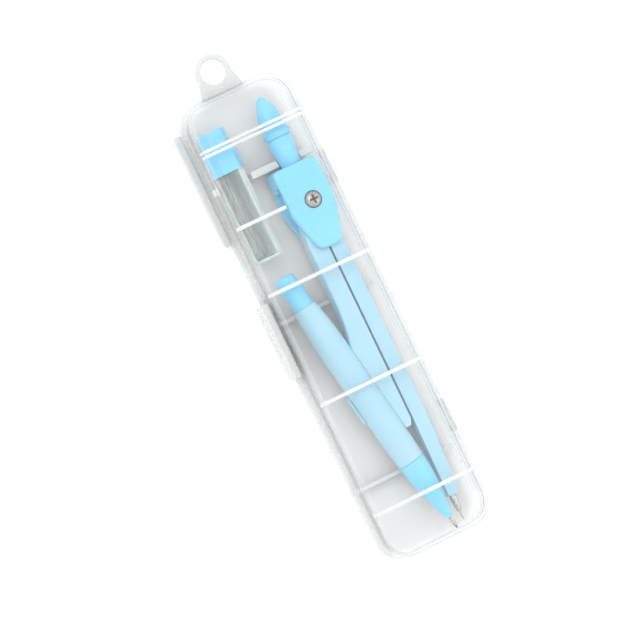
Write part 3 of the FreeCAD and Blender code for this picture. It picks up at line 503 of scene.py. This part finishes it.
def make_base_shell():
    """The base's floor and wall, as (inset, height) outlines of its outside, rim and inside."""
    bottom, wall_foot = (2.4, 0.0), (0.0, 2.2)
    outer = quarter(bottom, wall_foot, 7, (bottom[0], wall_foot[1]))
    outer += [(0.12, 8.8), (0.0, 9.0), (0.0, 9.9), (0.08, BASE_TOP)]
    rim = [(WALL, BASE_TOP), (WALL, 11.3), (WALL + 0.1, 11.4), (WALL + 0.5, 11.4), (WALL + 0.5, 9.2)]
    bend, floor = (WALL + 0.3, 3.0), (3.2, WALL)
    inner = [(WALL + 0.1, 8.9), bend]
    inner += quarter(bend, floor, 6, (floor[0], bend[1]))[1:]
    shape = bmesh.new()
    skin(shape, [case_ring(*p) for p in outer + rim + inner])
    finish_piece(
        "base_shell", shape, CASE, "case_body", "case_base", walls=CASE_WALL_SHADING
    )


def add_cradle(shape):
    """The cross wall that the neck and the tube lie in."""
    neck_low, neck_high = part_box("handle_neck")
    neck_x = (neck_low.x + neck_high.x) / 2 / MM
    tube_low, tube_high = (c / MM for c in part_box("lead_tube_cap"))
    stub, start = tube_low.x - 0.25, tube_high.x + 0.25
    outline = [(start, FLOOR_FOOT), (SIDE - EASE, FLOOR_FOOT), (SIDE - EASE, CRADLE_TOP)]
    steps = 16
    for n in range(steps + 1):
        angle = math.pi * n / steps
        across, down = NECK_CRADLE * math.cos(angle), NECK_CRADLE * math.sin(angle)
        outline.append((neck_x + across, CRADLE_TOP - down))
    outline.append((start, CRADLE_TOP))
    low, high = CRADLE_PLACE - HALF_CRADLE, CRADLE_PLACE + HALF_CRADLE
    add_bar(shape, (-SIDE + EASE, low, FLOOR_FOOT), (stub, high, CRADLE_TOP), 0.2)
    part = bmesh.new()
    skin(part, [[Vector((x, y, z)) * MM for x, z in outline] for y in (high, low)])
    bmesh.ops.bevel(
        part,
        geom=[e for e in part.edges if abs(e.verts[0].co.y - e.verts[1].co.y) < 0.001 * MM],
        offset=0.25 * MM,
        segments=2,
        profile=0.5,
        affect="EDGES",
    )
    merge(shape, part)


def make_base_walls():
    """The cradle wall and the two low rests on the floor."""
    shape = bmesh.new()
    add_cradle(shape)
    side = SIDE - EASE
    for place in REST_PLACES:
        low = (-side, place - HALF_REST, FLOOR_FOOT)
        add_bar(shape, low, (side, place + HALF_REST, REST_TOP), 0.25)
    finish_piece("base_walls", shape, FROSTED, "case_body", "case_base")


def make_base_ears():
    """The hinge ears on both sides of each knuckle."""
    shape = bmesh.new()
    for place in HINGES:
        for start in (place + offset for offset in EAR_STARTS):
            add_rod(shape, (HINGE_X, start, BASE_TOP), EAR, HINGE_RADIUS)
            low = (HALF_WIDE - 0.5, start + 0.03, 6.8)
            add_bar(shape, low, (HINGE_X, start + EAR - 0.03, 9.7), 0.25)
    finish_piece("base_ears", shape, CASE, "case_body", "case_base")


def make_base_ledge():
    """The catch that the latch snaps over, and the ledge on the side."""
    shape = bmesh.new()
    add_bar(shape, (-HALF_WIDE - 0.55, -CATCH_END, 7.2), (-HALF_WIDE + 0.3, CATCH_END, 8.2), 0.2)
    start, end = LEDGE_ENDS
    add_bar(shape, (-HALF_WIDE - 2.3, start, 1.0), (-HALF_WIDE + 0.4, end, 2.6), 0.7)
    finish_piece("base_ledge", shape, FROSTED_SHADED, "case_body", "case_base")


def make_tab():
    """The hanging ring with its root, one flat moulding with soft edges."""
    low, high = (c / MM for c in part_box("hanging_tab"))
    outer, hole, thick = 6.1, 4.3, 1.6
    centre, root = high.y - outer, low.y
    # the sides slope from the root up to just below the ring's middle
    half_root, half_neck, neck = 7.65, outer * 0.96, centre - 1.2
    slope = (half_root - half_neck) / (neck - root)
    angles = turns(128)
    reach = []
    for angle in angles:
        c, s = math.cos(angle), math.sin(angle)
        far = outer
        if s < 0:
            down = (root - centre) / s
            if abs(c) * down <= half_root:
                far = max(far, down)
            else:
                # where the ray meets the sloping side of the root
                far = max(far, (half_root + slope * (root - centre)) / (abs(c) + slope * s))
        reach.append(far)

    def ring(radii, height):
        points = []
        for angle, r in zip(angles, radii):
            y = max(centre + r * math.sin(angle), root)
            points.append(Vector((r * math.cos(angle), y, height)) * MM)
        return points

    # (inset, rise) up the outside, and back down through the hole
    profile = [(0.3, 0), (0.09, 0.09), (0, 0.3)]
    profile += [(inset, thick - rise) for inset, rise in reversed(profile)]
    rings = [ring([r - inset for r in reach], low.z + rise) for inset, rise in profile]
    rings += [ring([hole + inset] * len(angles), low.z + rise) for inset, rise in profile[::-1]]
    shape = bmesh.new()
    skin_loop(shape, rings)
    finish_piece("hanging_ring", shape, FROSTED_SHADED, "case_body", "hanging_tab")


def make_tube():
    """Six-sided clear tube with soft corners and a closed, rounded end."""
    low, high = (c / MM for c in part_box("lead_tube"))
    x, z = (low.x + high.x) / 2, (low.z + high.z) / 2
    flats = (high.z - low.z) / 2

    def ring(half, soft, y):
        """A hexagon, half from its middle to a flat, with corners of radius soft."""
        points = []
        for k in range(6):
            corner = math.radians(60 * k)
            middle = (half - soft) / math.cos(math.pi / 6)
            for n in range(5):
                angle = corner + math.radians(-30 + 15 * n)
                across = x + middle * math.cos(corner) + soft * math.cos(angle)
                up = z + middle * math.sin(corner) + soft * math.sin(angle)
                points.append(Vector((across, y, up)) * MM)
        return points

    inner = flats - 0.9
    rings = [
        ring(flats - 0.5, 0.5, low.y),
        ring(flats - 0.15, 0.6, low.y + 0.15),
        ring(flats, 0.6, low.y + 0.5),
        ring(flats, 0.6, high.y - 0.2),
        ring(flats - 0.2, 0.5, high.y),
        ring(inner + 0.1, 0.4, high.y),
        ring(inner, 0.4, high.y - 0.2),
        ring(inner, 0.4, low.y + 1.4),
        ring(inner - 0.5, 0.3, low.y + 0.95),
    ]
    shape = bmesh.new()
    skin(shape, rings)
    finish_piece("lead_tube_glass", shape, TUBE, "case_body", "lead_tube")

    # painted highlights: bright rods inside the wall along every corner but the one at 120 degrees, and a
    # bright band inside the closed end, standing in for light reflected inside the tube's wall
    edges = bmesh.new()
    for turn in (0, 60, 180, 240, 300):
        corner = math.radians(turn)
        for reach in (4.5, 5.0):
            start = (x + reach * math.cos(corner), low.y + 0.6, z + reach * math.sin(corner))
            add_rod(edges, start, high.y - low.y - 1.0, 0.17, 0.05, 12)
    skin(edges, [ring(inner, 0.4, low.y + 0.3), ring(inner + 0.3, 0.4, low.y + 0.8)])
    finish_piece("lead_tube_painted_highlights", edges, TUBE_HIGHLIGHTS, "case_body", "lead_tube")


def make_screw_details():
    """For looks only: painted shade, as dark plates in the screw's cross recess and a dark ring in the gap
    around its head.
    """
    low, high = (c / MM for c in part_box("pivot_screw"))
    x, y = (low.x + high.x) / 2, (low.y + high.y) / 2
    arm, half_arm = 1.44, 0.32
    floor = high.z - 1.13
    shape = bmesh.new()
    for wide, long in ((arm, half_arm), (half_arm, arm)):
        add_bar(shape, (x - wide, y - long, floor), (x + wide, y + long, floor + 0.3), 0.06)
    # a thin dark ring of painted shade in the gap between the screw's head and its counterbore
    rim = high.z - 1.26
    profile = ((2.74, rim), (2.8, rim + 0.06), (2.96, rim + 0.06), (3.02, rim), (2.9, rim - 0.05))
    rings = [
        [Vector((x + r * math.cos(a), y + r * math.sin(a), height)) * MM for a in turns(64)]
        for r, height in profile
    ]
    skin_loop(shape, rings)
    finish_piece("screw_shadow_lines", shape, SCREW_SHADE, "case_body", None)


make_lid_shell()
make_lid_ribs()
make_lid_fittings()
make_base_shell()
make_base_walls()
make_base_ears()
make_base_ledge()
make_tab()
make_tube()
make_screw_details()


# ---------------------------------------------------------------- floor, light and camera
def make_floor():
    """A pale floor just under the case."""
    mesh = bpy.data.meshes.new("floor")
    sheet = bmesh.new()
    bmesh.ops.create_grid(sheet, x_segments=4, y_segments=4, size=3)
    sheet.to_mesh(mesh)
    sheet.free()
    floor = bpy.data.objects.new("floor", mesh)
    floor.location = (0, 0, -0.05 * MM)
    bpy.context.scene.collection.objects.link(floor)
    material, nodes, link, shader = node_material("floor_look")
    fine = noise(nodes, link, coordinates(nodes, link), 20, 2)
    pale = ramp(nodes, link, fine, (0.3, (0.93, 0.93, 0.93)), (0.7, (0.95, 0.95, 0.95)))
    link(pale, shader.inputs["Base Color"])
    shader.inputs["Roughness"].default_value = 0.9
    mesh.materials.append(material)


def make_light(name, place, width, power):
    """A square soft light that shines at the origin."""
    data = bpy.data.lights.new(name, "AREA")
    data.shape = "SQUARE"
    data.size = width
    data.energy = power
    light = bpy.data.objects.new(name, data)
    light.location = place
    light.rotation_mode = "QUATERNION"
    light.rotation_quaternion = (-Vector(place)).to_track_quat("-Z", "Y")
    bpy.context.scene.collection.objects.link(light)


def make_world(strength):
    """White light from all round."""
    world = bpy.data.worlds.new("studio")
    world.use_nodes = True
    back = world.node_tree.nodes["Background"]
    back.inputs["Color"].default_value = (1, 1, 1, 1)
    back.inputs["Strength"].default_value = strength
    bpy.context.scene.world = world


TILT = math.radians(15)
ROLL = math.radians(25.6)
FRAME_WIDTH = 0.2096
LENS = 250.0
SENSOR = 36.0
# where the camera aims, from the origin, in its own right and up directions
AIM_RIGHT = -2.78375 * MM
AIM_UP = -0.42575 * MM


def make_camera():
    """Looks down at the case from its latch side, rolled so that the ring points up and left."""
    back = Vector((-math.sin(TILT), 0, math.cos(TILT)))
    level = Vector((math.cos(TILT), 0, math.sin(TILT)))
    along = Vector((0, 1, 0))
    right = level * math.cos(ROLL) - along * math.sin(ROLL)
    up = level * math.sin(ROLL) + along * math.cos(ROLL)
    aim = right * AIM_RIGHT + up * AIM_UP
    data = bpy.data.cameras.new("camera")
    data.lens = LENS
    data.sensor_width = SENSOR
    data.clip_start = 0.01
    data.clip_end = 20
    camera = bpy.data.objects.new("camera", data)
    turn = Matrix((right, up, back)).transposed().to_4x4()
    camera.matrix_world = Matrix.Translation(aim + back * (FRAME_WIDTH * LENS / SENSOR)) @ turn
    bpy.context.scene.collection.objects.link(camera)
    bpy.context.scene.camera = camera


make_floor()
make_world(1.25)
make_light("key", (-0.5, 0.5, 1.0), 0.8, 4.2)
make_light("fill", (0.7, -0.3, 0.9), 0.8, 1.9)
make_camera()
bpy.context.scene.view_settings.view_transform = "Standard"
